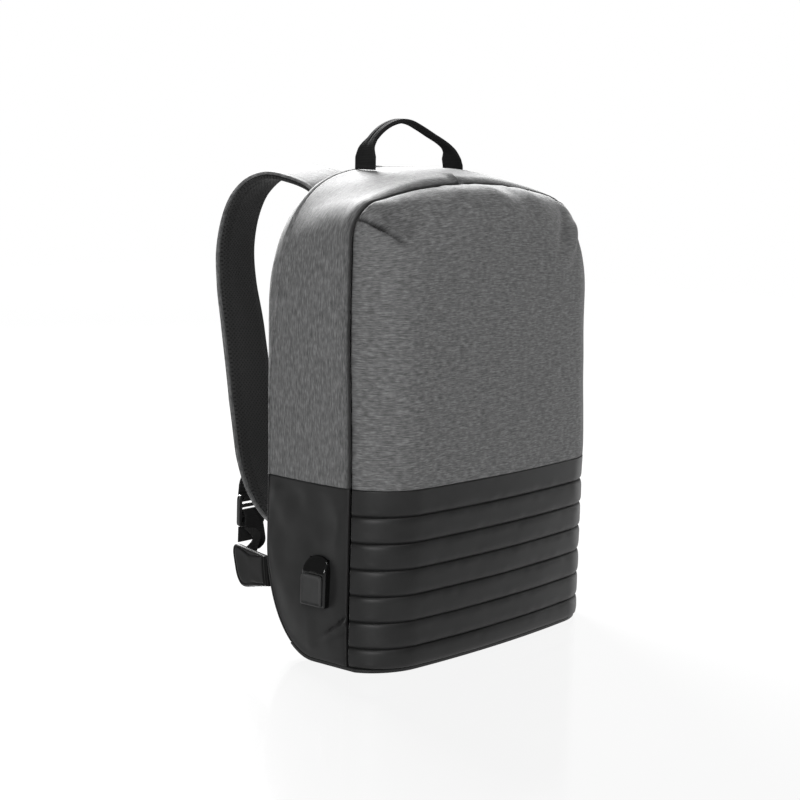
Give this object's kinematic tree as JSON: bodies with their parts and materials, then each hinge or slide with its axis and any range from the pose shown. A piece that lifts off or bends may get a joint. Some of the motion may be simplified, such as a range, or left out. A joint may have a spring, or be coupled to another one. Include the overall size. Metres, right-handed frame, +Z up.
{
  "type": "anti theft backpack",
  "caption": "Upright city backpack with a smooth padded front, quilted lower bands, carry handle, shoulder straps with ladder locks and a covered charging port in the side wall.",
  "frame": {"origin": "on the floor under the middle of the bag's body, on the underside of the base board", "axes": "+Z up; the smooth front panel faces -Y and the shoulder straps are on the +Y side; the charging port is in the -X side wall"},
  "size_m": [0.3558, 0.2913, 0.4965],
  "materials": {
    "gray_heather_cloth": "matte heather weave",
    "black_coated_cloth": "smooth coated, low sheen",
    "black_mesh_cloth": "matte air mesh",
    "black_webbing": "ribbed webbing",
    "black_plastic": "satin",
    "black_gloss_plastic": "gloss",
    "black_rubber": "matte"
  },
  "bodies": {
    "root": {"front_panel_upper": "gray_heather_cloth", "front_panel_lower": "black_coated_cloth", "gusset_upper": "gray_heather_cloth", "side_panel_left": "black_coated_cloth", "side_panel_right": "black_coated_cloth", "back_rim_upper": "gray_heather_cloth", "back_rim_left": "black_coated_cloth", "back_rim_right": "black_coated_cloth", "back_panel": "black_mesh_cloth", "base_panel": "black_coated_cloth", "strap_shell_left": "gray_heather_cloth", "strap_shell_right": "gray_heather_cloth", "strap_pad_left": "black_mesh_cloth", "strap_pad_right": "black_mesh_cloth", "lock_loop_left": "black_webbing", "lock_loop_right": "black_webbing", "ladder_lock_left": "black_plastic", "ladder_lock_right": "black_plastic", "adjuster_webbing_left": "black_webbing", "adjuster_webbing_right": "black_webbing", "wing_tab_left": "black_coated_cloth", "wing_tab_right": "black_coated_cloth", "carry_handle": "black_webbing", "usb_housing": "black_gloss_plastic", "usb_cover": "black_rubber"}
  },
  "joints": []
}
